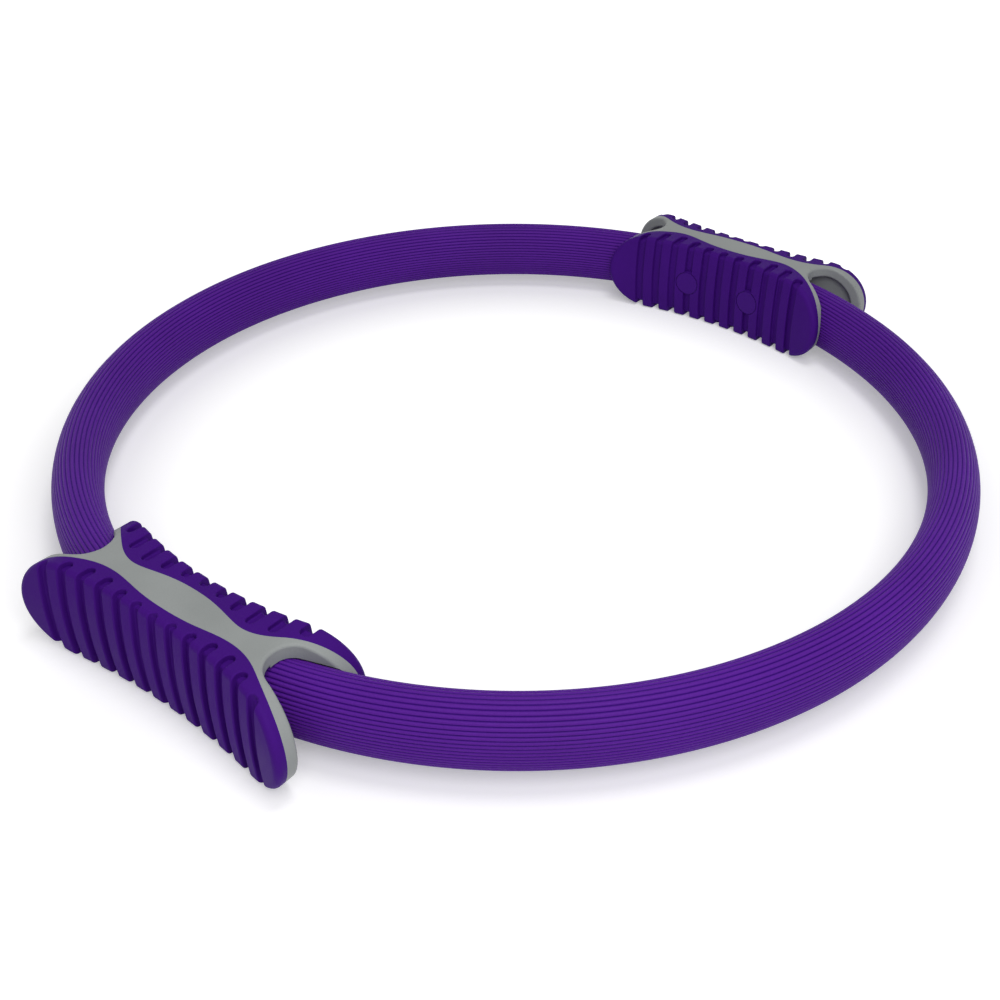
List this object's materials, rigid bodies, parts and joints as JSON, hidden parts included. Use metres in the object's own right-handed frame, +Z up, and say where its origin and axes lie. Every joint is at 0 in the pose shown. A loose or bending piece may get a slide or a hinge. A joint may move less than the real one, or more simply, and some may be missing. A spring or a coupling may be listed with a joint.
{
  "type": "pilates ring",
  "caption": "Springy foam-covered exercise ring with opposed hand grips that are squeezed together or pushed apart.",
  "frame": {"origin": "on the ring's axis, at the level of the floor that the handles rest on", "axes": "+Z up along the ring's axis, +X through the middle of the right handle"},
  "size_m": [0.398, 0.38, 0.04],
  "materials": {
    "foam": "matte",
    "grip_pad": "matte",
    "plug": "matte",
    "handle_shell": "satin",
    "spring_band": "satin",
    "screw": "satin"
  },
  "bodies": {
    "ring": {"front_foam_sleeve": "foam", "rear_foam_sleeve": "foam", "front_spring_band": "spring_band", "rear_spring_band": "spring_band"},
    "left_handle": {"left_outer_shell": "handle_shell", "left_inner_shell": "handle_shell", "left_outer_pad": "grip_pad", "left_inner_pad": "grip_pad", "left_front_screw": "screw", "left_rear_screw": "screw", "left_front_plug": "plug", "left_rear_plug": "plug"},
    "right_handle": {"right_outer_shell": "handle_shell", "right_inner_shell": "handle_shell", "right_outer_pad": "grip_pad", "right_inner_pad": "grip_pad", "right_front_screw": "screw", "right_rear_screw": "screw", "right_front_plug": "plug", "right_rear_plug": "plug"}
  },
  "joints": [
    {"name": "right_squeeze", "type": "slide", "parent": "ring", "child": "right_handle", "axis": [-1, 0, 0], "range_m": [-0.012, 0.03], "stiffness_N_per_m": 2600, "deforming": ["front_foam_sleeve", "rear_foam_sleeve", "front_spring_band", "rear_spring_band"]},
    {"name": "left_squeeze", "type": "slide", "parent": "ring", "child": "left_handle", "axis": [1, 0, 0], "range_m": [-0.012, 0.03], "stiffness_N_per_m": 2600, "deforming": ["front_foam_sleeve", "rear_foam_sleeve", "front_spring_band", "rear_spring_band"]}
  ],
  "couplings": [
    {"joint": "left_squeeze", "follows": "right_squeeze", "ratio": 1}
  ]
}
